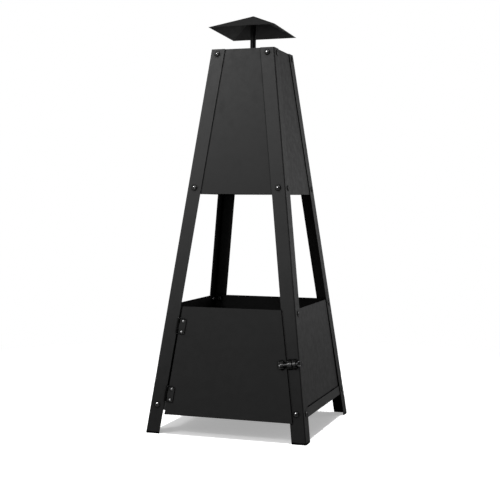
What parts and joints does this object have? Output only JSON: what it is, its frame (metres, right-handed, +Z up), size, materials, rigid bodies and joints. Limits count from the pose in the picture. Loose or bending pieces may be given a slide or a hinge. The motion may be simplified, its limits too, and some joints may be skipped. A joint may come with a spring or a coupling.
{
  "type": "chiminea",
  "caption": "Tall tapered steel chiminea with four folded legs, sheet hood, fire box with hinged latched door, ash tray, lift-out grate and square rain cap on a post.",
  "frame": {"origin": "centre, at ground level, of the square that the four feet make", "axes": "+Z up, the door and its latch are on the -Y side, +X is to the right when facing the door from outside"},
  "size_m": [0.45, 0.45, 1.1409],
  "materials": {
    "black_steel": "satin heat-resistant black paint on folded sheet steel",
    "tray_steel": "matt black paint, dulled inside",
    "grate_steel": "dark mill-scale steel rod",
    "black_bolt": "semi-gloss black domed bolts",
    "zinc": "bright zinc plating",
    "hinge_steel": "satin black paint"
  },
  "bodies": {
    "frame": {"leg_front_left": "black_steel", "leg_front_right": "black_steel", "leg_back_right": "black_steel", "leg_back_left": "black_steel", "hood_panel_front": "black_steel", "hood_panel_right": "black_steel", "hood_panel_back": "black_steel", "hood_panel_left": "black_steel", "box_panel_right": "black_steel", "box_panel_back": "black_steel", "box_panel_left": "black_steel", "fire_tray": "tray_steel", "hinge_leg_leaf_upper": "hinge_steel", "hinge_leg_leaf_lower": "hinge_steel", "hinge_pin_upper": "hinge_steel", "hinge_pin_lower": "hinge_steel", "latch_housing": "hinge_steel", "latch_rivets": "black_bolt", "hood_bolts": "black_bolt", "hood_nuts": "zinc", "box_bolts": "black_bolt", "box_nuts": "zinc", "tray_bolts": "black_bolt", "tray_nuts": "zinc", "cap_bracket": "black_steel", "cap_post": "black_steel", "cap_post_bolt": "zinc", "cap_post_washer": "zinc", "cap_mount_plate": "black_steel", "rain_cap": "black_steel"},
    "door": {"door": "black_steel", "hinge_door_leaf_upper": "hinge_steel", "hinge_door_leaf_lower": "hinge_steel", "hinge_screws": "black_bolt", "latch_keeper": "hinge_steel", "keeper_screw": "black_bolt"},
    "latch_rod": {"latch_bolt": "hinge_steel"},
    "grate": {"fire_grate": "grate_steel"}
  },
  "joints": [
    {"name": "door_hinge", "type": "hinge", "parent": "frame", "child": "door", "pos_m": [-0.15673, -0.20012, 0.19786], "axis": [-0.1277, -0.1277, -0.9836], "range_deg": [0, 150]},
    {"name": "latch_slide", "type": "slide", "parent": "frame", "child": "latch_rod", "axis": [0.9918, 0.0164, 0.1266], "range_m": [0, 0.016]},
    {"name": "grate_lift", "type": "slide", "parent": "frame", "child": "grate", "axis": [0, 0, 1], "range_m": [0, 0.25]}
  ]
}
